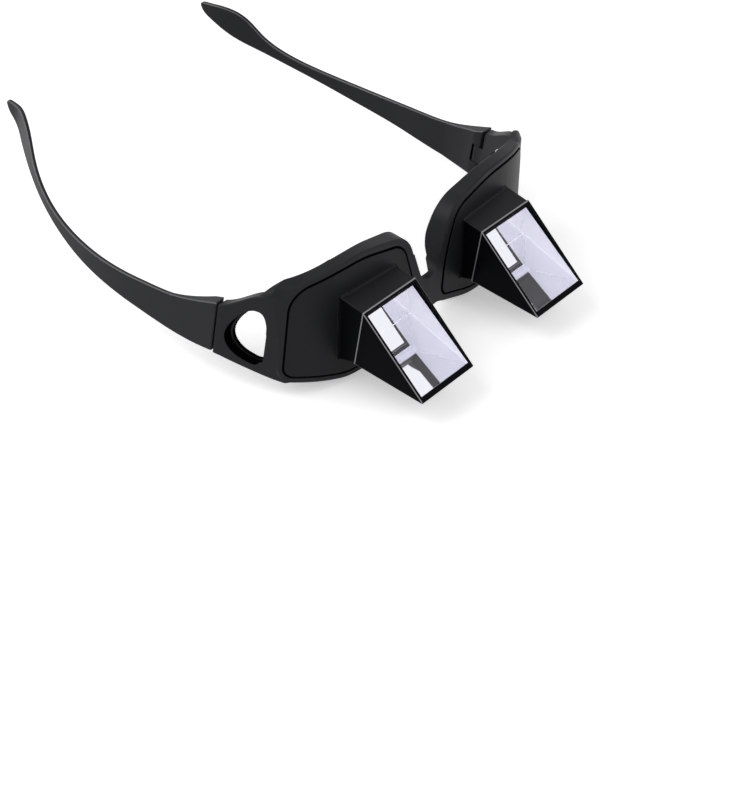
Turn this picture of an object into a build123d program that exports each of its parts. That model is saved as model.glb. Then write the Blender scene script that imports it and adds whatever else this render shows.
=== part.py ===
"""Prism bed glasses, as they stand upside down on a table with the wedge prisms in front.

Millimetres. X runs across the face, with the wearer's right at +X. Y runs from the prisms back to the
temple tips. Z is up as the glasses stand, which is down when they are worn. The pieces are drawn with Y
from the prism cases' front edges and Z from their floors. The last section moves them to the origin, the
middle of the whole pair's footprint.
"""

from build123d import *
import math
import os

os.makedirs("parts", exist_ok=True)

# Clearances, and how far the cutting shapes run past the pieces
overrun = 60.0
glue_gap = 0.1
seam_gap = 0.35
fork_gap = 0.3

# Prism cases: hollow wedges, thick at the back and open on the slanted side
eye_spacing = 65.0
case_width = 28.0
case_length = 28.2
case_height = 20.7
case_wall = 1.2
case_floor = 1.0
case_edge_radius = 0.3
case_bar_width = 0.9
case_bar_depth = 1.8
case_toe_lip = 2.1

# Glass wedges, whose backs sit in the necks
glass_angle = 33.2
glass_length = 28.8
glass_toe_height = 0.4
glass_top_flat = 1.5
glass_bevel = 0.15

# Necks that carry the cases on the eye covers
neck_step = 0.25
neck_run = 9.8
neck_rise = 1.1
neck_drop = 3.2
neck_spread = 0.1
neck_corner_radius = 0.6
neck_root_radius = 1.0
duct_ledge = 0.6
duct_flare_start = 3.5
duct_flare = 5.0

# Front surface of the frame: nearly flat, then bent back towards the temples, and leaning back
front_setback = 32.6
front_lean_angle = 7.8
front_wrap_angle = 2.6
bend_start = 40.0
front_bend_radius = 55.0

# Eye covers: inset panels, seated on a ledge inside each rim
cover_left = 7.0
cover_bottom = -11.5
cover_width = 59.1
cover_over_case = 11.8
cover_thickness = 2.0
cover_crown = 0.3
cover_gap = 0.3
cover_edge_radius = 0.9
ledge_width = 1.6

# Rims round the covers
rim_nose = 3.1
rim_top_nose = 2.1
rim_top = 1.5
rim_side = 0.9
rim_bottom = 1.9
rim_bottom_nose = 2.4
rim_edge_radius = 0.8
rim_depth = 10.7
rim_back_radius = 0.6
back_wrap_angle = 0.1
back_bend_start = 36.0
back_bend_radius = 72.0

# Swell of each rim's upper outer corner, which runs into the end plate
swell_start = 43.2
swell_middle = 48.5
swell_end = 57.0
swell_inset = 0.4
swell_start_side = 1.4
swell_start_drop = 1.0
swell_side = 4.2
swell_rise = 0.5
swell_end_side = 7.6
swell_end_drop = 6.4
swell_inner = 46.0
swell_floor = 12.0
swell_start_radius = 10.0
swell_middle_radius = 6.0
swell_end_radius = 2.0

# Bridge and nose notch
bridge_bottom = -4.2
bridge_flat = 5.2
bridge_foot = -5.7
bridge_half_width = 10.5
bridge_top = 20.5
bridge_thickness = 5.0
notch_bottom = 7.9
notch_radius = 5.3
notch_side_angle = 22.0
notch_rise = 16.0

# Hollow behind the bridge, between the rims
relief_setback = 35.1
relief_depth = 8.5
relief_bottom = 8.0
relief_rise = 14.0
relief_foot_depth = 2.6
relief_foot_drop = 4.5
relief_half_width = 12.0
relief_side_angle = 45.0

# End plates, from the rims back to the hinges
seam_setback = 63.5
end_width = 75.5
plate_root_setback = 45.1
plate_length = 26.0
plate_thickness = 4.2
plate_run = 19.5
plate_top = 18.7
plate_top_rise = 12.1
plate_bottom = -0.4
plate_bottom_drop = 5.0
plate_edge_radius = 0.5

# Vents in the end plates
vent_front = 48.2
vent_length = 12.2
vent_bottom = -0.9
vent_height = 20.9
vent_lip = 0.6
vent_lip_depth = 1.2

# Temple hinges
hinge_inset = 3.0
hinge_setback = 2.5
tongue_radius = 1.75
tongue_bottom = 5.6
tongue_height = 6.4
screw_radius = 0.6
screw_length = 15.5
screw_head_radius = 1.05
screw_head_height = 0.8
screw_head_sink = 0.4
screw_play = 0.05
screw_bite_play = 0.02
screw_end_gap = 0.3
screw_slot_width = 0.35
screw_slot_depth = 0.35

# Temples
temple_length = 115.8
temple_spread = 0.75
temple_corner_setback = 131.4
temple_hook_inset = 23.5
temple_hook_setback = 172.6
temple_tip_inset = 25.0
temple_bend_radius = 122.0
temple_tip_radius = 18.0
temple_blade = 1.6
temple_root_inset = 4.75
temple_lug_length = 3.6
temple_root_length = 23.0
temple_root_bend = 11.0
temple_root_bend_inset = 1.9
temple_edge_radius = 0.4
hook_rise = 27.6

# Outline of an eye cover, from its lower nose corner up and round, as shares of its width and height
cover_shares = (
    (0.0, 0.195),
    (0.024, 0.50),
    (0.125, 0.884),
    (0.575, 1.0),
    (0.964, 0.902),
    (1.0, 0.189),
    (0.44, 0.0),
)
cover_corner_radii = (5.0, 40.0, 10.0, 60.0, 9.5, 4.5, 40.0)

# Outline of a temple from the side, from its upper front corner round the tip to its lower front corner,
# as shares of the temple's length and of the hook's rise
temple_side_shares = (
    (0.0, 0.705),
    (0.07, 0.58),
    (0.15, 0.464),
    (0.25, 0.394),
    (0.40, 0.336),
    (0.53, 0.333),
    (0.65, 0.382),
    (0.75, 0.504),
    (0.81, 0.667),
    (0.851, 0.844),
    (0.889, 0.949),
    (0.937, 0.993),
    (0.975, 0.98),
    (0.998, 0.945),
    (0.995, 0.90),
    (0.954, 0.761),
    (0.894, 0.594),
    (0.816, 0.449),
    (0.73, 0.322),
    (0.617, 0.192),
    (0.50, 0.09),
    (0.36, 0.02),
    (0.2245, -0.029),
    (0.138, -0.046),
    (0.056, -0.028),
    (0.0, 0.008),
)

# Edges of an end plate from the side: shares of the way from the seam to the rim, and of the rise or drop
plate_top_shares = ((0.0, 0.0), (0.23, 0.19), (0.4, 0.40), (0.55, 0.555), (0.75, 0.64), (1.3, 0.65))
plate_bottom_shares = (
    (1.3, 1.0),
    (1.0, 0.955),
    (0.77, 0.785),
    (0.51, 0.54),
    (0.26, 0.28),
    (0.08, 0.07),
    (0.0, 0.0),
)

# Back of the hollow from the side: shares of its depth and rise
relief_shares = (
    (0.1, 0.02),
    (0.341, 0.1),
    (0.565, 0.23),
    (0.741, 0.39),
    (0.847, 0.54),
    (0.93, 0.74),
    (1.0, 1.0),
)

# Curved part of a vent's outline: shares of its length and height, from its upper front end round the back
vent_shares = (
    (0.0, 0.59),
    (0.05, 0.86),
    (0.2, 0.995),
    (0.44, 0.99),
    (0.68, 0.867),
    (0.91, 0.656),
    (1.0, 0.394),
    (0.93, 0.266),
    (0.786, 0.156),
    (0.595, 0.073),
    (0.39, 0.023),
    (0.22, 0.0),
    (0.127, 0.023),
    (0.05, 0.083),
    (0.0, 0.18),
)


# Extrusions and boxes
def along_x(line, start, end):
    """Solid from an outline in Y and Z, between two values of X."""
    face = Pos(start, 0, 0) * (Plane.YZ * make_face(line.edges()))
    return extrude(face, amount=end - start, dir=(1, 0, 0))


def along_y(line, start, end):
    """Solid from an outline in X and Z, between two values of Y."""
    face = Pos(0, start, 0) * (Plane.XZ * make_face(line.edges()))
    return extrude(face, amount=end - start, dir=(0, 1, 0))


def along_z(line, start, end):
    """Solid from an outline in X and Y, between two values of Z."""
    face = Pos(0, 0, start) * make_face(line.edges())
    return extrude(face, amount=end - start, dir=(0, 0, 1))


def block(low, high):
    """Box between two opposite corners."""
    size = [b - a for a, b in zip(low, high)]
    return Pos(*low) * Box(*size, align=(Align.MIN, Align.MIN, Align.MIN))


def post(x, y, low, high, radius):
    """Upright round bar between two heights."""
    bar = Cylinder(radius, high - low, align=(Align.CENTER, Align.CENTER, Align.MIN))
    return Pos(x, y, low) * bar


def moved_sides(points, distances):
    """Corners of a clockwise outline after each of its sides has moved outwards by its own distance."""
    count = len(points)
    sides = []
    for i in range(count):
        (xa, za), (xb, zb) = points[i], points[(i + 1) % count]
        length = math.hypot(xb - xa, zb - za)
        nx, nz = -(zb - za) / length, (xb - xa) / length
        sides.append((xa + nx * distances[i], za + nz * distances[i], xb - xa, zb - za))
    corners = []
    for i in range(count):
        xa, za, ua, wa = sides[i - 1]
        xb, zb, ub, wb = sides[i]
        t = ((xb - xa) * wb - (zb - za) * ub) / (ua * wb - wa * ub)
        corners.append((xa + ua * t, za + wa * t))
    return corners


# Spaces ahead of the frame's front and back surfaces
def ahead_of(setback, straight, wrap, radius, lean):
    """Space ahead of an upright sheet that runs straight, then bends back, and may lean."""
    slope = math.radians(wrap)
    along = (math.cos(slope), math.sin(slope))
    start = (0, setback)
    bend = (straight, setback + straight * math.tan(slope))
    sweep = math.asin(along[1] + (end_width - straight) / radius) - slope
    arc = JernArc(start=bend, tangent=along, radius=radius, arc_size=math.degrees(sweep))
    tail = arc @ 1
    sides = Polyline((tail.X, tail.Y), (tail.X, -overrun), (0, -overrun), start)
    space = along_z(Line(start, bend) + arc + sides, -overrun, overrun)
    return Pos(0, front_setback, 0) * Rot(-lean, 0, 0) * Pos(0, -front_setback, 0) * space


def ahead_of_front(depth):
    """Space ahead of a sheet that lies the given depth behind the frame's front surface."""
    return ahead_of(front_setback + depth, bend_start, front_wrap_angle, front_bend_radius, front_lean_angle)


def ahead_of_back():
    """Space ahead of the rims' back surface."""
    return ahead_of(front_setback + rim_depth, back_bend_start, back_wrap_angle, back_bend_radius, 0)


# Outlines round an eye cover
cover_height = case_height + cover_over_case - cover_bottom
cover_corners = [(cover_left + cover_width * u, cover_bottom + cover_height * w) for u, w in cover_shares]


def cover_outline(distances):
    """The cover's outline with each side moved outwards by its own distance."""
    before = (distances[-1], *distances[:-1])
    radii = [r + (a + b) / 2 for r, a, b in zip(cover_corner_radii, before, distances)]
    return FilletPolyline(*moved_sides(cover_corners, distances), radius=radii, close=True)


def all_sides(distance):
    """The same distance for each side of the cover's outline."""
    return (distance,) * len(cover_corners)


# Rim, with rounded front and back edges
rim_widths = (rim_nose, rim_nose, rim_top_nose, rim_top, rim_side, rim_bottom, rim_bottom_nose)
rim_blank = along_y(cover_outline(rim_widths), 0, front_setback + overrun)
rim_front = rim_blank - ahead_of_front(0)
rim = fillet(new_edges(rim_blank, ahead_of_front(0), combined=rim_front), rim_edge_radius)
rim_cut = rim & ahead_of_back()
rim = fillet(new_edges(rim, ahead_of_back(), combined=rim_cut), rim_back_radius)

# Swell of the upper outer corner
rim_corners = moved_sides(cover_corners, rim_widths)
corner_x, corner_z = rim_corners[4]
crest_x, crest_z = rim_corners[3]
swell_crest = crest_z + (corner_z - crest_z) * (swell_inner - crest_x) / (corner_x - crest_x) - swell_inset


def swell_face(y, out, up, radius):
    """Outline of the swell at one setback, with its upper outer corner moved."""
    outline = FilletPolyline(
        (swell_inner, swell_floor),
        (swell_inner, swell_crest),
        (corner_x + out, corner_z + up),
        (corner_x + out, swell_floor),
        radius=(0, 0, radius, 0),
        close=True,
    )
    return Pos(0, y, 0) * (Plane.XZ * make_face(outline.edges()))


swell_faces = [
    swell_face(swell_start, swell_start_side, -swell_start_drop, swell_start_radius),
    swell_face(swell_middle, swell_side, swell_rise, swell_middle_radius),
    swell_face(swell_end, swell_end_side, -swell_end_drop, swell_end_radius),
]
swell = loft(swell_faces, ruled=True) & ahead_of_back()
swell = swell - ahead_of_front(0)

# End plate with its vent
plate_slope = math.atan2(end_width - rim_corners[5][0], seam_setback - plate_root_setback)
plate_across = plate_thickness / math.cos(plate_slope)
plate_back = (plate_length * math.sin(plate_slope), plate_length * math.cos(plate_slope))
plate_plan = Polyline(
    (end_width, seam_setback),
    (end_width - plate_back[0], seam_setback - plate_back[1]),
    (end_width - plate_across - plate_back[0], seam_setback - plate_back[1]),
    (end_width - plate_across, seam_setback),
    close=True,
)
plate_top_points = [
    (seam_setback - plate_run * u, plate_top + plate_top_rise * w) for u, w in plate_top_shares
]
plate_bottom_points = [
    (seam_setback - plate_run * u, plate_bottom - plate_bottom_drop * w) for u, w in plate_bottom_shares
]
plate_side = (
    Spline(*plate_top_points)
    + Line(plate_top_points[-1], plate_bottom_points[0])
    + Spline(*plate_bottom_points)
    + Line(plate_bottom_points[-1], plate_top_points[0])
)
plate = along_z(plate_plan, -overrun, overrun) & along_x(plate_side, 0, end_width + overrun)
plate_front = seam_setback - plate_back[1]
plate = fillet([e for e in plate.edges() if e.center().Y > plate_front + plate_thickness], plate_edge_radius)


def vent_outline(grow):
    """The vent's outline, smaller all round by a negative amount."""
    length = vent_length + 2 * grow
    height = vent_height + 2 * grow
    points = [(vent_front - grow + length * u, vent_bottom - grow + height * w) for u, w in vent_shares]
    return Spline(*points, tangents=((0, 1), (0, 1))) + Line(points[-1], points[0])


vent = along_x(vent_outline(-vent_lip), 0, end_width + overrun)
plate_space = along_z(plate_plan, -overrun, overrun)
vent_wide = along_x(vent_outline(0), 0, end_width + overrun)
lip_shift = (vent_lip_depth / math.cos(plate_slope), 0, 0)
vent = vent + (vent_wide & (Pos(*lip_shift) * plate_space))

# Bridge, from the mid-plane to the rim
notch_centre = notch_bottom + notch_radius
notch_slope = math.radians(notch_side_angle)
notch_start = (notch_radius * math.cos(notch_slope), notch_centre - notch_radius * math.sin(notch_slope))
notch_end = (notch_start[0] + notch_rise * math.tan(notch_slope), notch_start[1] + notch_rise)
bridge_line = Polyline(
    (0, bridge_bottom),
    (bridge_flat, bridge_bottom),
    (bridge_half_width, bridge_foot),
    (bridge_half_width, bridge_top),
    (0, bridge_top),
    close=True,
)
notch_line = Polyline((0, notch_start[1]), notch_start, notch_end, (0, notch_end[1]), close=True)
notch = along_y(notch_line, 0, overrun + front_setback)
notch = notch + Pos(0, 0, notch_centre) * Rot(-90, 0, 0) * Cylinder(
    notch_radius, overrun + front_setback, align=(Align.CENTER, Align.CENTER, Align.MIN)
)
bridge = along_y(bridge_line, 0, overrun + front_setback) & ahead_of_front(bridge_thickness)
bridge = bridge - ahead_of_front(0) - notch

# Front frame: one half, then the whole
pocket = along_y(cover_outline(all_sides(0)), 0, overrun + front_setback)
pocket = pocket & ahead_of_front(cover_thickness + glue_gap)
window = along_y(cover_outline(all_sides(-ledge_width)), 0, overrun + front_setback)
relief_curve = [
    (relief_setback + relief_depth * u, relief_bottom + relief_rise * w) for u, w in relief_shares
]
relief_foot = (relief_setback + relief_foot_depth, relief_bottom - relief_foot_drop)
relief_end = relief_setback + overrun
relief_side = Spline(*relief_curve) + Polyline(
    relief_curve[-1],
    (relief_curve[-1][0], overrun),
    (relief_end, overrun),
    (relief_end, -overrun),
    (relief_foot[0], -overrun),
    relief_foot,
    relief_curve[0],
)
relief_reach = relief_half_width + overrun * math.tan(math.radians(relief_side_angle))
relief_plan = Polyline(
    (0, relief_setback),
    (relief_half_width, relief_setback),
    (relief_reach, relief_end),
    (0, relief_end),
    close=True,
)
relief = along_x(relief_side, 0, end_width) & along_z(relief_plan, -overrun, overrun)
half = rim + bridge + swell + (plate - ahead_of_front(0))
half = half - pocket - window - vent - relief

hinge_x = end_width - hinge_inset
hinge_y = seam_setback + hinge_setback
tongue_top = tongue_bottom + tongue_height
tongue = post(hinge_x, hinge_y, tongue_bottom, tongue_top, tongue_radius) + block(
    (hinge_x - tongue_radius, seam_setback - tongue_radius, tongue_bottom),
    (hinge_x + tongue_radius, hinge_y, tongue_top),
)
tongue = tongue - post(hinge_x, hinge_y, -overrun, overrun, screw_radius + screw_play)
half = half + tongue
front_frame = half + mirror(half, about=Plane.YZ)

# Eye cover with its neck
cover_blank = along_y(cover_outline(all_sides(-cover_gap)), 0, overrun) & ahead_of_front(cover_thickness)
cover_panel = cover_blank - ahead_of_front(-cover_crown)
panel_front_edges = new_edges(cover_blank, ahead_of_front(-cover_crown), combined=cover_panel)
cover_panel = fillet(panel_front_edges, cover_edge_radius)

case_middle = eye_spacing / 2
case_half = case_width / 2
neck_half = case_half - neck_step
neck_low, neck_high = neck_step, case_height - neck_step


def neck_section(y, spread, drop, rise):
    """Rounded rectangle across a neck."""
    width = 2 * (neck_half + spread)
    height = neck_high + rise - neck_low + drop
    middle = (neck_high + rise + neck_low - drop) / 2
    return Pos(case_middle, y, middle) * (Plane.XZ * RectangleRounded(width, height, neck_corner_radius))


neck = loft(
    [
        neck_section(case_length, 0, 0, 0),
        neck_section(case_length + neck_run, neck_spread, neck_drop, neck_rise),
    ],
    ruled=True,
)
neck = neck & ahead_of_front(cover_thickness / 2)
eye_cover = cover_panel + neck
eye_cover = fillet(
    [e for e in new_edges(cover_panel, neck, combined=eye_cover) if e.center().Y > case_length + neck_step],
    neck_root_radius,
)

# Glass wedge, before its place in the neck is cut
glass_low = case_floor + glue_gap
glass_toe = case_toe_lip + glue_gap
glass_back = glass_toe + glass_length
glass_slope = math.radians(glass_angle)
glass_top = glass_low + glass_toe_height + (glass_length - glass_top_flat) * math.tan(glass_slope)
glass_outline = Polyline(
    (glass_toe, glass_low),
    (glass_back, glass_low),
    (glass_back, glass_top),
    (glass_back - glass_top_flat, glass_top),
    (glass_toe, glass_low + glass_toe_height),
    close=True,
)
glass_half = case_half - case_wall - glue_gap
prism = along_x(glass_outline, case_middle - glass_half, case_middle + glass_half)
prism = chamfer([e for e in prism.edges() if e.center().Y > glass_toe + glass_bevel], glass_bevel)

# Socket for the glass in the neck, and the duct behind it, which widens towards the nose and the top
socket = block(
    (case_middle - glass_half - glue_gap, 0, glass_low - glue_gap),
    (case_middle + glass_half + glue_gap, glass_back + glue_gap, glass_top + glue_gap),
)
duct_half = glass_half - duct_ledge
duct_low, duct_high = glass_low + duct_ledge, glass_top - duct_ledge
duct = block((case_middle - duct_half, 0, duct_low), (case_middle + duct_half, overrun, duct_high))


def duct_section(y, grow):
    """Rectangle across the duct at one setback, wider and higher towards the nose and the top."""
    width, height = 2 * duct_half + grow, duct_high - duct_low + grow
    outer_corner = Pos(case_middle + duct_half, y, duct_low)
    return outer_corner * (Plane.XZ * Rectangle(width, height, align=(Align.MAX, Align.MIN)))


flare_start = glass_back + duct_flare_start
flare = loft([duct_section(flare_start, 0), duct_section(flare_start + duct_flare, duct_flare)], ruled=True)
eye_cover = eye_cover - socket - duct - flare

# Prism case
case_outline = Polyline((0, 0), (case_length, 0), (case_length, case_height), close=True)
case_left, case_right = case_middle - case_half, case_middle + case_half
case_solid = along_x(case_outline, case_left, case_right)
case_solid = fillet(
    [e for e in case_solid.edges() if e.center().Y < case_length - case_edge_radius], case_edge_radius
)
bar_front = case_length - case_bar_width
bar_low = case_height - case_bar_depth
case_inside = Polyline(
    (case_toe_lip, case_floor),
    (case_length + overrun, case_floor),
    (case_length + overrun, bar_low),
    (bar_front, bar_low),
    (bar_front, overrun),
    (case_toe_lip, overrun),
    close=True,
)
prism_case = case_solid - along_x(case_inside, case_left + case_wall, case_right - case_wall)

# Temple: the plan outline and the side outline, each extruded through the other
temple_front = seam_setback + seam_gap
temple_outer = FilletPolyline(
    (end_width, seam_setback - temple_root_inset),
    (end_width + temple_spread, temple_corner_setback),
    (end_width - temple_hook_inset, temple_hook_setback),
    (end_width - temple_tip_inset, seam_setback + temple_length + temple_blade),
    radius=(temple_bend_radius, temple_tip_radius),
)
temple_strip = make_face(offset(temple_outer, amount=temple_blade, side=Side.LEFT, closed=True).edges())
root_end = (end_width - temple_blade / 2, temple_front + temple_root_length)
root_corner = (end_width - temple_root_inset, temple_front)
root_start = (end_width - temple_root_inset, temple_front + temple_lug_length)
root_bend = (end_width - temple_root_bend_inset, temple_front + temple_root_bend)
root_sides = Polyline(root_end, (root_end[0], temple_front), root_corner, root_start)
temple_root = make_face((Bezier(root_start, root_bend, root_end) + root_sides).edges())
ahead_of_seam = Rectangle(2 * (overrun + end_width), overrun, align=(Align.CENTER, Align.MAX))
ahead_of_seam = Pos(0, temple_front) * ahead_of_seam
temple_plan = extrude(Pos(0, 0, -overrun) * (temple_strip + temple_root - ahead_of_seam), amount=2 * overrun)
side_points = [(seam_setback + temple_length * u, hook_rise * w) for u, w in temple_side_shares]
side_line = Spline(*side_points) + Line(side_points[-1], side_points[0])
temple = temple_plan & along_x(side_line, 0, end_width + overrun)
front_edges = temple.edges().filter_by_position(Axis.Y, temple_front, temple_front + seam_gap)
upright_edges = temple.edges().filter_by(Axis.Z)
rounded = [e for e in temple.edges() if e not in upright_edges or e in front_edges]
temple = fillet(rounded, temple_edge_radius)

lug_radius = hinge_setback - seam_gap
slot_radius = tongue_radius + fork_gap
slot_low, slot_high = tongue_bottom - fork_gap, tongue_top + fork_gap
slot = post(hinge_x, hinge_y, slot_low, slot_high, slot_radius)
slot = slot + block((0, 0, slot_low), (hinge_x, hinge_y + slot_radius, slot_high))
slot = slot + block((0, 0, slot_low), (hinge_x + slot_radius, hinge_y, slot_high))
corner = block((0, 0, -overrun), (hinge_x, hinge_y, overrun))
corner = corner - post(hinge_x, hinge_y, -overrun, overrun, lug_radius)
temple = temple - slot - corner

temple_bottom = hook_rise * temple_side_shares[-1][1]
head_low = temple_bottom + screw_head_sink
head_high = head_low + screw_head_height
screw_top = head_high + screw_length
sink = post(hinge_x, hinge_y, -overrun, head_high + screw_bite_play, screw_head_radius + screw_play)
bite = post(hinge_x, hinge_y, head_high, screw_top + screw_end_gap, screw_radius + screw_bite_play)
temple = temple - sink - bite

# Hinge screw, with its head towards the table
hinge_screw = post(hinge_x, hinge_y, head_low, head_high, screw_head_radius) + post(
    hinge_x, hinge_y, head_high, screw_top, screw_radius
)
hinge_screw = hinge_screw - block(
    (hinge_x - overrun, hinge_y - screw_slot_width / 2, head_low - overrun),
    (hinge_x + overrun, hinge_y + screw_slot_width / 2, head_low + screw_slot_depth),
)

# All pieces, moved to the origin and written
right_pieces = {
    "eye_cover": eye_cover,
    "prism_case": prism_case,
    "prism": prism,
    "temple": temple,
    "hinge_screw": hinge_screw,
}
pieces = {"front_frame": front_frame}
for name, shape in right_pieces.items():
    pieces["right_" + name] = shape
    pieces["left_" + name] = mirror(shape, about=Plane.YZ)
bounds = Compound(children=[Compound(shape.wrapped) for shape in pieces.values()]).bounding_box()
shift = Pos(0, -(bounds.min.Y + bounds.max.Y) / 2, -bounds.min.Z)
for name, shape in pieces.items():
    export_step(shift * shape, "parts/" + name + ".step")
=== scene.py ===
"""Looks of a pair of prism bed glasses: satin black moulded plastic, ground and silvered glass.

Metres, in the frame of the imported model: X across the face with the wearer's right at +X, Y from
the prisms back to the ear hooks, Z up from the table that the glasses stand on, upside down.
"""

import logging
import math
from dataclasses import dataclass, field
from enum import Enum, IntEnum

import bmesh
import bpy
from mathutils import Matrix, Vector


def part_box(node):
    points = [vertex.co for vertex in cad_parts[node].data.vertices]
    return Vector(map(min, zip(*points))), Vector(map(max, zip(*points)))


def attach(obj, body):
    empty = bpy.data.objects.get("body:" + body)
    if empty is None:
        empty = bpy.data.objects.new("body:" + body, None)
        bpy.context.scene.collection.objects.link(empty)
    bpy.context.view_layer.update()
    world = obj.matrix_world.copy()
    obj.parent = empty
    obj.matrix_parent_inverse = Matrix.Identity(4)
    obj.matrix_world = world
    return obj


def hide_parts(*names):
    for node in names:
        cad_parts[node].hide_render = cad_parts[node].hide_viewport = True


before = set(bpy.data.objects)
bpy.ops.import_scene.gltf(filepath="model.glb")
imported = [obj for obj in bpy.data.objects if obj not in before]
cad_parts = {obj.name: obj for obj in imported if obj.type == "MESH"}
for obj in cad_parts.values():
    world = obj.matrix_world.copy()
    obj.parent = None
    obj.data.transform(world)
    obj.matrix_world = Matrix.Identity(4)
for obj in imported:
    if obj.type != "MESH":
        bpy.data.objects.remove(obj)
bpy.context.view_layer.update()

log = logging.getLogger("prism_bed_glasses")

MM = 0.001
JOIN_DISTANCE = 0.001 * MM

# The places of a Mix node's colour sockets, whose names its other sockets share
MIX_FIRST, MIX_SECOND, MIX_COLOUR = 6, 7, 2


class Side(Enum):
    """Which half of the glasses a piece belongs to, as the wearer counts."""

    LEFT = "left"
    RIGHT = "right"


class Body(Enum):
    """The parts that move as one."""

    FRAME = "frame"
    LEFT_ARM = "left_arm"
    RIGHT_ARM = "right_arm"


class Slot(Enum):
    """Material slots of the record."""

    FRAME_PLASTIC = "frame_plastic"
    COVER_PLASTIC = "cover_plastic"
    CASE_PLASTIC = "case_plastic"
    OPTICAL_GLASS = "optical_glass"
    SCREW_STEEL = "screw_steel"


class PlasticFace(IntEnum):
    """Places of the finishes among a moulding's materials: the plastic, a painted edge highlight,
    painted shade, and painted shade on the necks' sides.
    """

    MAIN = 0
    EDGE = 1
    SHADE = 2
    NECK_SHADE = 3


class GlassFace(IntEnum):
    """Places of the finishes among a wedge's materials."""

    POLISHED = 0
    GROUND = 1
    SILVERED = 2


def linear(hex_colour: str) -> tuple[float, float, float, float]:
    """Turns an sRGB hex colour into linear light, along the standard's curve.

    Args:
        hex_colour: Six hex digits with a leading hash.

    Returns:
        Red, green, blue and an alpha of one.
    """
    shares = [int(hex_colour[i : i + 2], 16) / 255 for i in (1, 3, 5)]
    light = [s / 12.92 if s <= 0.04045 else ((s + 0.055) / 1.055) ** 2.4 for s in shares]
    return (*light, 1.0)


def add_node(
    tree: bpy.types.NodeTree, kind: str, inputs: dict | None = None, **settings: object
) -> bpy.types.Node:
    """Adds one node with its settings, and its inputs as values or as links.

    Args:
        tree: The tree that gets the node.
        kind: The node's type name.
        inputs: Input name or index to a value, or to an output socket that is linked to it.
        **settings: Properties of the node itself.

    Returns:
        The new node.
    """
    node = tree.nodes.new(kind)
    for name, value in settings.items():
        setattr(node, name, value)
    for key, value in (inputs or {}).items():
        if isinstance(value, bpy.types.NodeSocket):
            tree.links.new(value, node.inputs[key])
        else:
            node.inputs[key].default_value = value
    return node


def new_material(
    name: str,
) -> tuple[bpy.types.Material, bpy.types.NodeTree, bpy.types.NodeSocket]:
    """Makes an empty node material.

    Args:
        name: The material's name.

    Returns:
        The material, its tree and the place on the object as a socket.
    """
    material = bpy.data.materials.new(name)
    material.use_nodes = True
    tree = material.node_tree
    tree.nodes.clear()
    return material, tree, add_node(tree, "ShaderNodeTexCoord").outputs["Object"]


@dataclass(frozen=True)
class MouldedPlastic:
    """ABS moulded in a sparked steel tool: a fine grain that greys the black at glancing angles.

    Where the melt flowed unevenly, colour and shine drift a little over a centimetre or so. The
    grain is finer than the picture can show, so it is drawn about twice as coarse.
    """

    name: str
    colour: str
    flow_colour: str
    roughness: float
    grain_mm: float
    grain_height_mm: float
    specular: float
    roughness_spread: float = 0.03
    ior: float = 1.53
    flow_mm: float = 14.0
    flow_detail: float = 3.0
    flow_roughness: float = 0.55
    flow_range: tuple[float, float] = (0.3, 0.7)
    grain_detail: float = 2.0
    grain_roughness: float = 0.6

    def build(self) -> bpy.types.Material:
        """Builds the material.

        Returns:
            The material, with its colour, roughness and bump from noise in real sizes.
        """
        material, tree, where = new_material(self.name)
        flow = add_node(
            tree,
            "ShaderNodeTexNoise",
            {
                "Vector": where,
                "Scale": 1 / (self.flow_mm * MM),
                "Detail": self.flow_detail,
                "Roughness": self.flow_roughness,
            },
        )
        grain = add_node(
            tree,
            "ShaderNodeTexNoise",
            {
                "Vector": where,
                "Scale": 1 / (self.grain_mm * MM),
                "Detail": self.grain_detail,
                "Roughness": self.grain_roughness,
            },
        )
        colour = add_node(
            tree,
            "ShaderNodeMix",
            {
                "Factor": flow.outputs["Fac"],
                MIX_FIRST: linear(self.colour),
                MIX_SECOND: linear(self.flow_colour),
            },
            data_type="RGBA",
        )
        rough = add_node(
            tree,
            "ShaderNodeMapRange",
            {
                "Value": flow.outputs["Fac"],
                "From Min": self.flow_range[0],
                "From Max": self.flow_range[1],
                "To Min": self.roughness - self.roughness_spread,
                "To Max": self.roughness + self.roughness_spread,
            },
        )
        bump = add_node(
            tree,
            "ShaderNodeBump",
            {"Height": grain.outputs["Fac"], "Distance": self.grain_height_mm * MM},
        )
        shader = add_node(
            tree,
            "ShaderNodeBsdfPrincipled",
            {
                "Base Color": colour.outputs[MIX_COLOUR],
                "Roughness": rough.outputs["Result"],
                "IOR": self.ior,
                "Specular IOR Level": self.specular,
                "Normal": bump.outputs["Normal"],
            },
        )
        add_node(tree, "ShaderNodeOutputMaterial", {"Surface": shader.outputs["BSDF"]})
        return material


@dataclass(frozen=True)
class PolishedGlass:
    """Crown glass, ground and polished: clear, a trace of violet, total reflection inside."""

    name: str = "polished crown glass"
    colour: str = "#fbfbff"
    ior: float = 1.517
    haze_mm: float = 6.0
    haze_detail: float = 2.0
    haze_roughness: float = 0.02

    def build(self) -> bpy.types.Material:
        """Builds the material.

        Returns:
            The material, with the faintest polishing haze in its roughness.
        """
        material, tree, where = new_material(self.name)
        haze = add_node(
            tree,
            "ShaderNodeTexNoise",
            {"Vector": where, "Scale": 1 / (self.haze_mm * MM), "Detail": self.haze_detail},
        )
        rough = add_node(
            tree,
            "ShaderNodeMapRange",
            {"Value": haze.outputs["Fac"], "To Min": 0.0, "To Max": self.haze_roughness},
        )
        shader = add_node(
            tree,
            "ShaderNodeBsdfPrincipled",
            {
                "Base Color": linear(self.colour),
                "Roughness": rough.outputs["Result"],
                "IOR": self.ior,
                "Transmission Weight": 1.0,
            },
        )
        add_node(tree, "ShaderNodeOutputMaterial", {"Surface": shader.outputs["BSDF"]})
        return material


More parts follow.
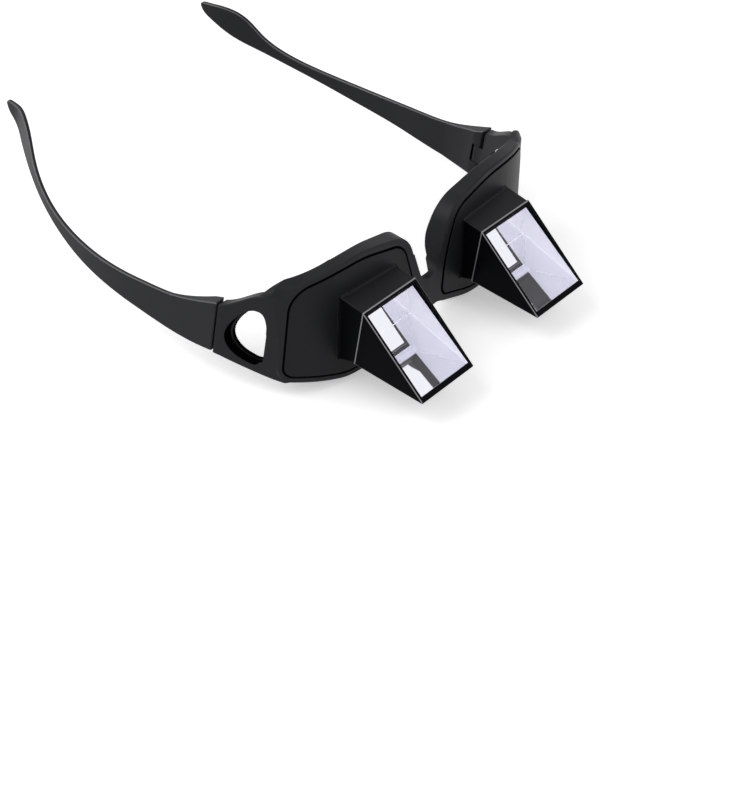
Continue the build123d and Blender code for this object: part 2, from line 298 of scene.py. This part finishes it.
@dataclass(frozen=True)
class GroundGlass:
    """The wedge's side faces, ground matt on a lap: pale violet frost, whiter near the floor face.

    The pits are finer than the picture can show, so they are drawn about five times as coarse.
    Behind polished glass and inside a black case the frost gets little light, so it has a painted
    glow, a faint emission of its own colour that stands in for that light, at which its colour is
    seen about as written.
    """

    name: str = "crown glass ground on a lap"
    top_colour: str = "#ebeaf5"
    low_colour: str = "#fefeff"
    top_mm: float = 17.0
    low_mm: float = 4.0
    painted_glow: float = 0.34
    roughness: float = 0.85
    pit_mm: float = 0.3
    pit_depth_mm: float = 0.02
    cloud_mm: float = 9.0
    cloud_detail: float = 2.0
    cloud_share: float = 0.3

    def build(self) -> bpy.types.Material:
        """Builds the material.

        Returns:
            The material, with pits in its bump and soft clouds in its fading colour.
        """
        material, tree, where = new_material(self.name)
        cloud = add_node(
            tree,
            "ShaderNodeTexNoise",
            {"Vector": where, "Scale": 1 / (self.cloud_mm * MM), "Detail": self.cloud_detail},
        )
        pits = add_node(
            tree, "ShaderNodeTexNoise", {"Vector": where, "Scale": 1 / (self.pit_mm * MM)}
        )
        height = add_node(tree, "ShaderNodeSeparateXYZ", {"Vector": where})
        fade = add_node(
            tree,
            "ShaderNodeMapRange",
            {
                "Value": height.outputs["Z"],
                "From Min": self.top_mm * MM,
                "From Max": self.low_mm * MM,
            },
            interpolation_type="SMOOTHSTEP",
        )
        clouded = add_node(
            tree,
            "ShaderNodeMath",
            {0: cloud.outputs["Fac"], 1: self.cloud_share, 2: fade.outputs["Result"]},
            operation="MULTIPLY_ADD",
        )
        share = add_node(
            tree,
            "ShaderNodeMath",
            {0: clouded.outputs[0], 1: self.cloud_share / 2},
            operation="SUBTRACT",
            use_clamp=True,
        )
        colour = add_node(
            tree,
            "ShaderNodeMix",
            {
                "Factor": share.outputs[0],
                MIX_FIRST: linear(self.top_colour),
                MIX_SECOND: linear(self.low_colour),
            },
            data_type="RGBA",
        )
        bump = add_node(
            tree,
            "ShaderNodeBump",
            {"Height": pits.outputs["Fac"], "Distance": self.pit_depth_mm * MM},
        )
        shader = add_node(
            tree,
            "ShaderNodeBsdfPrincipled",
            {
                "Base Color": colour.outputs[MIX_COLOUR],
                "Roughness": self.roughness,
                "Normal": bump.outputs["Normal"],
                # The painted glow: the frost's own colour given off as light
                "Emission Color": colour.outputs[MIX_COLOUR],
                "Emission Strength": self.painted_glow,
            },
        )
        add_node(tree, "ShaderNodeOutputMaterial", {"Surface": shader.outputs["BSDF"]})
        return material


@dataclass(frozen=True)
class BareMetal:
    """Bare metal of one colour, whose shine drifts with the marks that its making left."""

    name: str
    colour: str
    mark_mm: float
    mark_detail: float
    roughness: tuple[float, float]

    def build(self) -> bpy.types.Material:
        """Builds the material.

        Returns:
            The material, with its marks as noise in its roughness.
        """
        material, tree, where = new_material(self.name)
        marks = add_node(
            tree,
            "ShaderNodeTexNoise",
            {"Vector": where, "Scale": 1 / (self.mark_mm * MM), "Detail": self.mark_detail},
        )
        rough = add_node(
            tree,
            "ShaderNodeMapRange",
            {
                "Value": marks.outputs["Fac"],
                "To Min": self.roughness[0],
                "To Max": self.roughness[1],
            },
        )
        shader = add_node(
            tree,
            "ShaderNodeBsdfPrincipled",
            {
                "Base Color": linear(self.colour),
                "Metallic": 1.0,
                "Roughness": rough.outputs["Result"],
            },
        )
        add_node(tree, "ShaderNodeOutputMaterial", {"Surface": shader.outputs["BSDF"]})
        return material


# Frame and temples: the palest of the blacks, with a soft broad shine along the rims
FRAME_FINISH = MouldedPlastic(
    name="injection moulded satin ABS, frame",
    colour="#1d1e20",
    flow_colour="#222325",
    roughness=0.42,
    grain_mm=0.35,
    grain_height_mm=0.010,
    specular=0.10,
)
# Covers: a little blacker and duller, so that they lie back inside the rims
COVER_FINISH = MouldedPlastic(
    name="injection moulded satin ABS, covers",
    colour="#151618",
    flow_colour="#191a1c",
    roughness=0.44,
    grain_mm=0.35,
    grain_height_mm=0.010,
    specular=0.10,
)
# Prism cases: the deepest black, against which the glass stands out; also painted shade on the
# necks' sides
CASE_BLACK_AND_NECK_SHADE = MouldedPlastic(
    name="injection moulded smooth ABS, cases",
    colour="#07080a",
    flow_colour="#090a0d",
    roughness=0.32,
    grain_mm=0.5,
    grain_height_mm=0.003,
    specular=0.02,
)
# Painted shade: grooves and inner walls that get next to no light are painted near black, a dark
# line round each cover
SEAM_PAINTED_SHADE = MouldedPlastic(
    name="painted shade on moulded ABS seams and vent walls",
    colour="#040405",
    flow_colour="#050506",
    roughness=0.60,
    grain_mm=0.5,
    grain_height_mm=0.002,
    specular=0.0,
)
# Corners of frame, covers and temples: a painted highlight, a faint grey line that follows them
SOFT_EDGE_HIGHLIGHT = MouldedPlastic(
    name="painted highlight on moulded ABS edges",
    colour="#4a4b4e",
    flow_colour="#525356",
    roughness=0.34,
    grain_mm=0.5,
    grain_height_mm=0.002,
    specular=0.4,
)
# Corners and rear seam of the cases: a painted highlight for the thin bright lines where they
# catch the lamps, drawn paler than the plastic because such lines are thinner than a pixel
CASE_EDGE_HIGHLIGHT = MouldedPlastic(
    name="painted highlight on moulded ABS case edges",
    colour="#737578",
    flow_colour="#7c7e81",
    roughness=0.28,
    grain_mm=0.5,
    grain_height_mm=0.002,
    specular=0.6,
)
# The wedge's floor face: a clean mirror under the glass, with the faintest coating streaks
MIRROR_FINISH = BareMetal(
    name="vacuum coated aluminium mirror",
    colour="#f6f6fa",
    mark_mm=4.0,
    mark_detail=3.0,
    roughness=(0.01, 0.04),
)
# Hinge screws: a dull grey shine broken by fine turning marks
STEEL_FINISH = BareMetal(
    name="turned screw steel",
    colour="#8e9094",
    mark_mm=0.12,
    mark_detail=2.0,
    roughness=(0.25, 0.45),
)


def baked(piece: bpy.types.Object) -> bpy.types.Object:
    """Turns a piece's modifiers into plain mesh and takes them off.

    Args:
        piece: The piece, in the scene.

    Returns:
        The same piece.
    """
    bpy.context.view_layer.update()
    graph = bpy.context.evaluated_depsgraph_get()
    mesh = bpy.data.meshes.new_from_object(
        piece.evaluated_get(graph), preserve_all_data_layers=True, depsgraph=graph
    )
    piece.modifiers.clear()
    old = piece.data
    piece.data = mesh
    bpy.data.meshes.remove(old)
    return piece


def place(piece: bpy.types.Object, node: str, body: Body) -> bpy.types.Object:
    """Puts a finished piece on its body in place of its node.

    Args:
        piece: The finished piece.
        node: The node that it replaces.
        body: The body that it moves with.

    Returns:
        The piece.
    """
    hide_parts(node)
    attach(piece, body.value)
    return piece


@dataclass
class NodeCopy:
    """A copy of a node's mesh to dress, with its corners broken if they have a width.

    Angles are in degrees. Shares are parts of a face's unit normal.
    """

    node: str
    name: str
    finishes: list[bpy.types.Material]
    edge_width: float = 0.0
    sharp_angle: float = 28.0
    corner_angle: float = 50.0
    corner_segments: int = 2
    shading_weight: int = 80
    sideways_shares: tuple[float, float] = (0.1, 0.97)
    upright_share: float = 0.15
    rear_share: float = 0.9

    def build(self) -> bpy.types.Object:
        """Joins the node's loose triangles, breaks its corners and shades it smooth between them.

        Returns:
            The new object, at the origin, with the first finish on all its faces but the broken
            corners, which get the painted edge highlight.
        """
        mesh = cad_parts[self.node].data.copy()
        mesh.name = self.name
        if "custom_normal" in mesh.attributes:
            mesh.attributes.remove(mesh.attributes["custom_normal"])
        work = bmesh.new()
        work.from_mesh(mesh)
        bmesh.ops.remove_doubles(work, verts=work.verts, dist=JOIN_DISTANCE)
        for face in work.faces:
            face.smooth = True
        limit = math.radians(self.sharp_angle)
        for edge in work.edges:
            edge.smooth = len(edge.link_faces) == 2 and edge.calc_face_angle() < limit
        work.to_mesh(mesh)
        work.free()
        mesh.materials.clear()
        for finish in self.finishes:
            mesh.materials.append(finish)
        made = bpy.data.objects.new(self.name, mesh)
        bpy.context.scene.collection.objects.link(made)
        if self.edge_width:
            corners = made.modifiers.new("broken corners", "BEVEL")
            corners.width = self.edge_width
            corners.segments = self.corner_segments
            corners.limit_method = "ANGLE"
            corners.angle_limit = math.radians(self.corner_angle)
            # The broken corners get the painted edge highlight
            corners.material = PlasticFace.EDGE
        weigh = made.modifiers.new("even shading", "WEIGHTED_NORMAL")
        weigh.keep_sharp = True
        weigh.weight = self.shading_weight
        return baked(made)

    def highlight_rounded_edges(self, piece: bpy.types.Object) -> None:
        """Paints a highlight, in the edge highlight finish, on the narrow rounded edges beside a
        piece's upright sides.

        Args:
            piece: The finished copy.
        """
        low, high = self.sideways_shares
        for face in piece.data.polygons:
            if low < abs(face.normal.x) < high and abs(face.normal.z) > self.upright_share:
                face.material_index = PlasticFace.EDGE

    def highlight_rear_band(self, piece: bpy.types.Object, width: float) -> None:
        """Paints a highlight, in the edge highlight finish, on a band round a piece's rear end.

        Args:
            piece: The finished copy.
            width: The band's width.
        """
        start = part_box(self.node)[1][1] - width
        work = bmesh.new()
        work.from_mesh(piece.data)
        bmesh.ops.bisect_plane(
            work,
            geom=work.verts[:] + work.edges[:] + work.faces[:],
            dist=JOIN_DISTANCE,
            plane_co=(0, start, 0),
            plane_no=(0, 1, 0),
        )
        for face in work.faces:
            if face.calc_center_median().y > start and abs(face.normal.y) < self.rear_share:
                face.material_index = PlasticFace.EDGE
        work.to_mesh(piece.data)
        work.free()


@dataclass
class FrontFrame:
    """Both rims, the bridge and the end plates, one moulding."""

    finish: bpy.types.Material
    edge_highlight: bpy.types.Material
    painted_shade_finish: bpy.types.Material
    edge_width: float = 0.35 * MM
    vent_middle: tuple[float, float] = (-35.5 * MM, 21.5 * MM)
    vent_half: tuple[float, float] = (6.6 * MM, 10.8 * MM)
    vent_inset: float = 58.0 * MM
    wall_share: float = 0.6

    def build(self) -> list[bpy.types.Object]:
        """Builds and dresses the front frame.

        Returns:
            Its one piece, with painted shade on the inner walls of the vents.
        """
        finishes = [self.finish, self.edge_highlight, self.painted_shade_finish]
        node = "front_frame"
        piece = NodeCopy(node, "front_frame_moulding", finishes, self.edge_width).build()
        # Painted shade on the vents' inner walls
        for face in piece.data.polygons:
            if self.is_vent_wall(face):
                face.material_index = PlasticFace.SHADE
        return [place(piece, node, Body.FRAME)]

    def is_vent_wall(self, face: bpy.types.MeshPolygon) -> bool:
        """Tells the walls of the vents from the frame's other faces.

        Args:
            face: A face of the frame.

        Returns:
            Whether it lies in a vent and faces the vent's middle.
        """
        y = face.center.y - self.vent_middle[0]
        z = face.center.z - self.vent_middle[1]
        beside = abs(face.center.x) > self.vent_inset
        inside = beside and abs(y) < self.vent_half[0] and abs(z) < self.vent_half[1]
        towards_middle = y * face.normal.y + z * face.normal.z < 0
        return inside and towards_middle and abs(face.normal.x) < self.wall_share


@dataclass
class FrontSurface:
    """The bent, leaning surface that the covers' fronts follow. Angles are in degrees."""

    wrap_angle: float = 2.6
    lean_angle: float = 7.8
    bend_start: float = 40.0 * MM
    bend_radius: float = 55.0 * MM

    def normal(self, x: float) -> Vector:
        """The way that the surface faces at a place across the face.

        Args:
            x: The place, from the middle.

        Returns:
            A unit vector.
        """
        turn = math.radians(self.wrap_angle) + max(abs(x) - self.bend_start, 0) / self.bend_radius
        lean = math.radians(self.lean_angle)
        ahead = math.cos(turn)
        sideways = math.copysign(math.sin(turn), x)
        return Vector((sideways, -ahead * math.cos(lean), ahead * math.sin(lean)))


@dataclass
class PrismUnit:
    """One eye's cover with its neck, its prism case and its glass wedge.

    Shares are parts of a face's unit normal. A wedge's slanted face lies between the last three.
    """

    side: Side
    cover_finish: bpy.types.Material
    seam_painted_shade: bpy.types.Material
    soft_edge_highlight: bpy.types.Material
    case_black_and_neck_shade: bpy.types.Material
    edge_highlight: bpy.types.Material
    glass: bpy.types.Material
    ground: bpy.types.Material
    silver: bpy.types.Material
    seam_shares: tuple[float, float] = (-0.3, 0.93)
    upward_share: float = 0.6
    neck_side: float = 2.0 * MM
    neck_over: float = 3.0 * MM
    neck_under: float = 5.0 * MM
    cover_edge_width: float = 0.2 * MM
    case_edge_width: float = 0.3 * MM
    rear_highlight_width: float = 0.4 * MM
    wedge_sharp_angle: float = 5.0
    face_share: float = 0.9
    slant_up_share: float = 0.5
    slant_ahead_share: float = 0.3
    slant_side_share: float = 0.1

    def build(self) -> list[bpy.types.Object]:
        """Builds and dresses the unit's three pieces."""
        return [self.cover(), self.case(), self.wedge()]

    def cover(self) -> bpy.types.Object:
        """Builds and dresses the inset panel with the neck that carries the case.

        Returns:
            The piece, with painted shade on its rounded edge and on the neck's sides, which are as
            black as the case.
        """
        node, name = f"{self.side.value}_eye_cover", f"{self.side.value}_cover_moulding"
        finishes = [self.cover_finish, self.soft_edge_highlight, self.seam_painted_shade, self.case_black_and_neck_shade]
        piece = NodeCopy(node, name, finishes, self.cover_edge_width).build()
        case_low, case_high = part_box(f"{self.side.value}_prism_case")
        left, right = case_low[0] - self.neck_side, case_high[0] + self.neck_side
        bottom, top = case_low[2] - self.neck_under, case_high[2] + self.neck_over
        surface = FrontSurface()
        for face in piece.data.polygons:
            at_neck = left < face.center.x < right and bottom < face.center.z < top
            facing = face.normal.dot(surface.normal(face.center.x))
            # Upward neck faces keep the cover's plastic; the neck's other sides and the cover's
            # rounded edge get painted shade
            if at_neck and face.normal.z > self.upward_share:
                face.material_index = PlasticFace.MAIN
            elif self.seam_shares[0] < facing < self.seam_shares[1]:
                face.material_index = PlasticFace.NECK_SHADE if at_neck else PlasticFace.SHADE
        return place(piece, node, Body.FRAME)

    def case(self) -> bpy.types.Object:
        """Builds and dresses the hollow wedge round the glass.

        Returns:
            The piece, with painted highlights as bright lines at its edges and at its rear seam.
        """
        node, name = f"{self.side.value}_prism_case", f"{self.side.value}_case_moulding"
        finishes = [self.case_black_and_neck_shade, self.edge_highlight]
        copy = NodeCopy(node, name, finishes, self.case_edge_width)
        piece = copy.build()
        # Painted highlights on the rounded edges and on a band round the rear seam
        copy.highlight_rounded_edges(piece)
        copy.highlight_rear_band(piece, self.rear_highlight_width)
        return place(piece, node, Body.FRAME)

    def wedge(self) -> bpy.types.Object:
        """Builds and dresses the glass.

        Returns:
            The piece, polished in front and behind, silvered underneath and ground elsewhere.
        """
        node, name = f"{self.side.value}_prism", f"{self.side.value}_glass_wedge"
        finishes = [self.glass, self.ground, self.silver]
        piece = NodeCopy(node, name, finishes, sharp_angle=self.wedge_sharp_angle).build()
        for face in piece.data.polygons:
            slanted = (
                face.normal.z > self.slant_up_share
                and face.normal.y < -self.slant_ahead_share
                and abs(face.normal.x) < self.slant_side_share
            )
            if face.normal.z < -self.face_share:
                face.material_index = GlassFace.SILVERED
            elif face.normal.y < self.face_share and not slanted:
                face.material_index = GlassFace.GROUND
        return place(piece, node, Body.FRAME)


@dataclass
class SlottedScrew:
    """A small turned screw, head down: a slotted head, and thread ribs on a plain core.

    The slot's cutter is slot_reach head widths long.
    """

    steel: bpy.types.Material
    head_height: float = 0.8 * MM
    shank_share: float = 0.6 / 1.05
    slot_width: float = 0.35 * MM
    slot_depth: float = 0.35 * MM
    slot_reach: float = 2.0
    thread_pitch: float = 0.6 * MM
    rib_radius: float = 0.09 * MM
    head_sides: int = 48
    core_sides: int = 32
    rib_sides: int = 8
    tree: bpy.types.NodeTree = field(init=False)

    def __post_init__(self) -> None:
        """Builds the one tree that all the screws share."""
        self.tree = self.new_tree()

    def build(self, node: str, name: str) -> bpy.types.Object:
        """Builds a screw in its node's place.

        Args:
            node: The node whose box gives the screw's place, height and head width.
            name: The new object's name.

        Returns:
            The new object, at the origin, with plain mesh.
        """
        corners = [Vector(corner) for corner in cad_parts[node].bound_box]
        low = Vector([min(corner[i] for corner in corners) for i in range(3)])
        high = Vector([max(corner[i] for corner in corners) for i in range(3)])
        head_width = high.x - low.x
        shank_length = high.z - low.z - self.head_height
        values = {
            "Place": ((low.x + high.x) / 2, (low.y + high.y) / 2, low.z),
            "Head Radius": head_width / 2,
            "Head Height": self.head_height,
            "Shank Radius": head_width / 2 * self.shank_share,
            "Shank Length": shank_length,
            "Slot": (head_width * self.slot_reach, self.slot_width, self.slot_depth * 2),
            "Thread Pitch": self.thread_pitch,
            "Thread Count": int(shank_length / self.thread_pitch) - 1,
            "Rib Radius": self.rib_radius,
            "Finish": self.steel,
        }
        made = bpy.data.objects.new(name, bpy.data.meshes.new(name))
        bpy.context.scene.collection.objects.link(made)
        shape = made.modifiers.new("slotted screw", "NODES")
        shape.node_group = self.tree
        for item in self.tree.interface.items_tree:
            if item.in_out == "INPUT":
                shape[item.identifier] = values[item.name]
        return baked(made)

    def standing_rod(
        self,
        tree: bpy.types.NodeTree,
        sides: int,
        radius: bpy.types.NodeSocket,
        height: bpy.types.NodeSocket,
        start: bpy.types.NodeSocket | float,
    ) -> bpy.types.NodeSocket:
        """Adds an upright cylinder to the tree.

        Args:
            tree: The tree.
            sides: How many sides it has.
            radius: Its radius.
            height: Its height.
            start: How high it starts.

        Returns:
            The cylinder's geometry.
        """
        middle = add_node(
            tree, "ShaderNodeMath", {0: height, 1: 0.5, 2: start}, operation="MULTIPLY_ADD"
        )
        spot = add_node(tree, "ShaderNodeCombineXYZ", {"Z": middle.outputs[0]})
        rod = add_node(
            tree,
            "GeometryNodeMeshCylinder",
            {"Vertices": sides, "Radius": radius, "Depth": height},
        )
        placed = add_node(
            tree,
            "GeometryNodeTransform",
            {"Geometry": rod.outputs["Mesh"], "Translation": spot.outputs[0]},
        )
        return placed.outputs[0]

    def thread(
        self,
        tree: bpy.types.NodeTree,
        given: bpy.types.NodeOutputs,
        core_radius: bpy.types.NodeSocket,
    ) -> bpy.types.NodeSocket:
        """Adds the thread to the tree: round ribs, one pitch apart, from one pitch above the head.

        Args:
            tree: The tree.
            given: The tree's inputs.
            core_radius: The core's radius, on which the ribs lie.

        Returns:
            The ribs, as instances.
        """
        ring = add_node(
            tree,
            "GeometryNodeCurvePrimitiveCircle",
            {"Resolution": self.core_sides, "Radius": core_radius},
        )
        profile = add_node(
            tree,
            "GeometryNodeCurvePrimitiveCircle",
            {"Resolution": self.rib_sides, "Radius": given["Rib Radius"]},
        )
        rib = add_node(
            tree,
            "GeometryNodeCurveToMesh",
            {"Curve": ring.outputs["Curve"], "Profile Curve": profile.outputs["Curve"]},
        )
        first = add_node(
            tree,
            "ShaderNodeMath",
            {0: given["Head Height"], 1: given["Thread Pitch"]},
            operation="ADD",
        )
        first_place = add_node(tree, "ShaderNodeCombineXYZ", {"Z": first.outputs[0]})
        step = add_node(tree, "ShaderNodeCombineXYZ", {"Z": given["Thread Pitch"]})
        places = add_node(
            tree,
            "GeometryNodeMeshLine",
            {
                "Count": given["Thread Count"],
                "Start Location": first_place.outputs[0],
                "Offset": step.outputs[0],
            },
        )
        ribs = add_node(
            tree,
            "GeometryNodeInstanceOnPoints",
            {"Points": places.outputs["Mesh"], "Instance": rib.outputs["Mesh"]},
        )
        return ribs.outputs["Instances"]

    def new_tree(self) -> bpy.types.NodeTree:
        """Builds the screws' tree.

        Returns:
            The tree, with a screw's place, sizes and finish as its inputs.
        """
        tree = bpy.data.node_groups.new("slotted screw", "GeometryNodeTree")
        kinds = {
            "Place": "Vector",
            "Head Radius": "Float",
            "Head Height": "Float",
            "Shank Radius": "Float",
            "Shank Length": "Float",
            "Slot": "Vector",
            "Thread Pitch": "Float",
            "Thread Count": "Int",
            "Rib Radius": "Float",
            "Finish": "Material",
        }
        for name, kind in kinds.items():
            tree.interface.new_socket(name, in_out="INPUT", socket_type="NodeSocket" + kind)
        tree.interface.new_socket("Geometry", in_out="OUTPUT", socket_type="NodeSocketGeometry")
        given = add_node(tree, "NodeGroupInput").outputs
        blank = self.standing_rod(
            tree, self.head_sides, given["Head Radius"], given["Head Height"], 0.0
        )
        slot = add_node(tree, "GeometryNodeMeshCube", {"Size": given["Slot"]})
        head = add_node(
            tree,
            "GeometryNodeMeshBoolean",
            {"Mesh 1": blank, "Mesh 2": slot.outputs["Mesh"]},
            operation="DIFFERENCE",
        )
        core_radius = add_node(
            tree,
            "ShaderNodeMath",
            {0: given["Shank Radius"], 1: given["Rib Radius"]},
            operation="SUBTRACT",
        ).outputs[0]
        core = self.standing_rod(
            tree, self.core_sides, core_radius, given["Shank Length"], given["Head Height"]
        )
        ribs = self.thread(tree, given, core_radius)
        whole = add_node(tree, "GeometryNodeJoinGeometry")
        for part in (head.outputs[0], core, ribs):
            tree.links.new(part, whole.inputs["Geometry"])
        placed = add_node(
            tree,
            "GeometryNodeTransform",
            {"Geometry": whole.outputs["Geometry"], "Translation": given["Place"]},
        )
        real = add_node(
            tree, "GeometryNodeRealizeInstances", {"Geometry": placed.outputs["Geometry"]}
        )
        dressed = add_node(
            tree,
            "GeometryNodeSetMaterial",
            {"Geometry": real.outputs["Geometry"], "Material": given["Finish"]},
        )
        add_node(tree, "NodeGroupOutput", {"Geometry": dressed.outputs["Geometry"]})
        return tree


@dataclass
class Temple:
    """A temple arm with its ear hook, and the screw that it turns on."""

    side: Side
    body: Body
    finish: bpy.types.Material
    edge_highlight: bpy.types.Material
    pivot: SlottedScrew
    edge_width: float = 0.25 * MM

    def build(self) -> list[bpy.types.Object]:
        """Builds and dresses the arm and its screw.

        Returns:
            The two pieces.
        """
        side = self.side.value
        arm_node, screw_node = f"{side}_temple", f"{side}_hinge_screw"
        finishes = [self.finish, self.edge_highlight]
        copy = NodeCopy(arm_node, f"{side}_temple_arm", finishes, self.edge_width)
        arm = copy.build()
        # Painted highlight on the arm's narrow rounded edges
        copy.highlight_rounded_edges(arm)
        screw = self.pivot.build(screw_node, f"{side}_pivot_screw")
        return [
            place(arm, arm_node, self.body),
            place(screw, screw_node, self.body),
        ]


@dataclass(frozen=True)
class SoftLamp:
    """A square soft lamp that faces the glasses. Its width is its edge length."""

    spot: tuple[float, float, float]
    width: float
    watts: float

    def build(self) -> None:
        """Builds the lamp and turns it towards the origin."""
        data = bpy.data.lights.new("soft lamp", "AREA")
        data.size = self.width
        data.energy = self.watts
        lamp = bpy.data.objects.new("soft lamp", data)
        spot = Vector(self.spot)
        lamp.location = spot
        lamp.rotation_euler = (-spot).to_track_quat("-Z", "Y").to_euler()
        bpy.context.scene.collection.objects.link(lamp)


@dataclass
class Studio:
    """White sweep of floor, soft lamps and the camera at the photograph's place.

    The lifts are how much light the floor seems to add where it is seen, near and far away.
    """

    floor_size: float = 6.0
    floor_colour: str = "#f4f4f4"
    floor_lift: float = 0.42
    floor_far_lift: float = 0.62
    floor_near: float = 0.5
    floor_far: float = 2.0
    sky_light: float = 0.45
    lamps: tuple[SoftLamp, ...] = (
        SoftLamp((-0.72, 0.42, 0.8), 0.8, 7.2),
        SoftLamp((0.1, -0.9, 0.9), 0.9, 3.4),
    )
    camera_place: tuple[float, float, float] = (-0.552193, -0.377162, 0.484303)
    camera_right: tuple[float, float, float] = (0.60505766, -0.78454067, 0.13565086)
    camera_up: tuple[float, float, float] = (0.44105229, 0.47212284, 0.76326463)
    camera_reach: tuple[float, float] = (0.01, 20.0)
    lens_mm: float = 106.95

    def build(self) -> None:
        """Builds the floor, the sky, the lamps and the camera."""
        self.floor()
        self.sky()
        for lamp in self.lamps:
            lamp.build()
        self.camera()
        bpy.context.scene.view_settings.view_transform = "Standard"

    def seen_directly(self, tree: bpy.types.NodeTree) -> bpy.types.NodeSocket:
        """Adds the test for rays from the camera, from shiny surfaces and through glass.

        Args:
            tree: The tree that gets the test.

        Returns:
            One for such rays and nothing for all others.
        """
        rays = add_node(tree, "ShaderNodeLightPath").outputs
        either = add_node(
            tree,
            "ShaderNodeMath",
            {0: rays["Is Camera Ray"], 1: rays["Is Glossy Ray"]},
            operation="MAXIMUM",
        )
        every = add_node(
            tree,
            "ShaderNodeMath",
            {0: either.outputs[0], 1: rays["Is Transmission Ray"]},
            operation="MAXIMUM",
        )
        return every.outputs[0]

    def floor(self) -> None:
        """Builds the floor: wide matt paper, whose fibres scatter light evenly, so it has no shine.

        It looks white all over and keeps the soft shadows.
        """
        half = self.floor_size / 2
        corners = [(-half, -half, 0), (half, -half, 0), (half, half, 0), (-half, half, 0)]
        mesh = bpy.data.meshes.new("floor")
        mesh.from_pydata(corners, [], [(0, 1, 2, 3)])
        floor = bpy.data.objects.new("floor", mesh)
        bpy.context.scene.collection.objects.link(floor)
        material, tree, where = new_material("matt white background paper")
        paper = add_node(tree, "ShaderNodeBsdfDiffuse", {"Color": linear(self.floor_colour)})
        reach = add_node(tree, "ShaderNodeVectorMath", {0: where}, operation="LENGTH")
        even = add_node(
            tree,
            "ShaderNodeMapRange",
            {
                "Value": reach.outputs["Value"],
                "From Min": self.floor_near,
                "From Max": self.floor_far,
                "To Min": self.floor_lift,
                "To Max": self.floor_far_lift,
            },
        )
        lift = add_node(
            tree,
            "ShaderNodeMath",
            {0: self.seen_directly(tree), 1: even.outputs["Result"]},
            operation="MULTIPLY",
        )
        glow = add_node(tree, "ShaderNodeEmission", {"Strength": lift.outputs[0]})
        both = add_node(tree, "ShaderNodeAddShader", {0: paper.outputs[0], 1: glow.outputs[0]})
        add_node(tree, "ShaderNodeOutputMaterial", {"Surface": both.outputs[0]})
        mesh.materials.append(material)

    def sky(self) -> None:
        """Builds an even sky that is seen as white."""
        world = bpy.data.worlds.new("white sky")
        bpy.context.scene.world = world
        world.use_nodes = True
        tree = world.node_tree
        tree.nodes.clear()
        strength = add_node(
            tree,
            "ShaderNodeMapRange",
            {"Value": self.seen_directly(tree), "To Min": self.sky_light, "To Max": 1.0},
        )
        glow = add_node(
            tree,
            "ShaderNodeBackground",
            {"Color": (1.0, 1.0, 1.0, 1.0), "Strength": strength.outputs["Result"]},
        )
        add_node(tree, "ShaderNodeOutputWorld", {"Surface": glow.outputs[0]})

    def camera(self) -> None:
        """Builds the camera, at the photograph's place and turn."""
        right, up = Vector(self.camera_right).normalized(), Vector(self.camera_up)
        back = right.cross(up).normalized()
        data = bpy.data.cameras.new("camera")
        data.lens = self.lens_mm
        data.clip_start, data.clip_end = self.camera_reach
        camera = bpy.data.objects.new("camera", data)
        turn = Matrix((right, back.cross(right), back)).transposed().to_4x4()
        camera.matrix_world = Matrix.Translation(self.camera_place) @ turn
        bpy.context.scene.collection.objects.link(camera)
        bpy.context.scene.camera = camera


def main() -> None:
    """Builds every piece, reports it, then sets the studio."""
    logging.basicConfig(level=logging.INFO)
    frame_finish, cover_finish = FRAME_FINISH.build(), COVER_FINISH.build()
    case_black_and_neck_shade, seam_painted_shade = CASE_BLACK_AND_NECK_SHADE.build(), SEAM_PAINTED_SHADE.build()
    soft_edge_highlight, edge_highlight = SOFT_EDGE_HIGHLIGHT.build(), CASE_EDGE_HIGHLIGHT.build()
    plastics = (cover_finish, seam_painted_shade, soft_edge_highlight, case_black_and_neck_shade, edge_highlight)
    glasses = (PolishedGlass().build(), GroundGlass().build(), MIRROR_FINISH.build())
    pivot = SlottedScrew(STEEL_FINISH.build())
    assemblies = [FrontFrame(frame_finish, soft_edge_highlight, seam_painted_shade)]
    for side, body in ((Side.LEFT, Body.LEFT_ARM), (Side.RIGHT, Body.RIGHT_ARM)):
        assemblies.append(PrismUnit(side, *plastics, *glasses))
        assemblies.append(Temple(side, body, frame_finish, soft_edge_highlight, pivot))
    for assembly in assemblies:
        for piece in assembly.build():
            log.info("%s: %d faces", piece.name, len(piece.data.polygons))
    Studio().build()


if __name__ == "__main__":
    main()
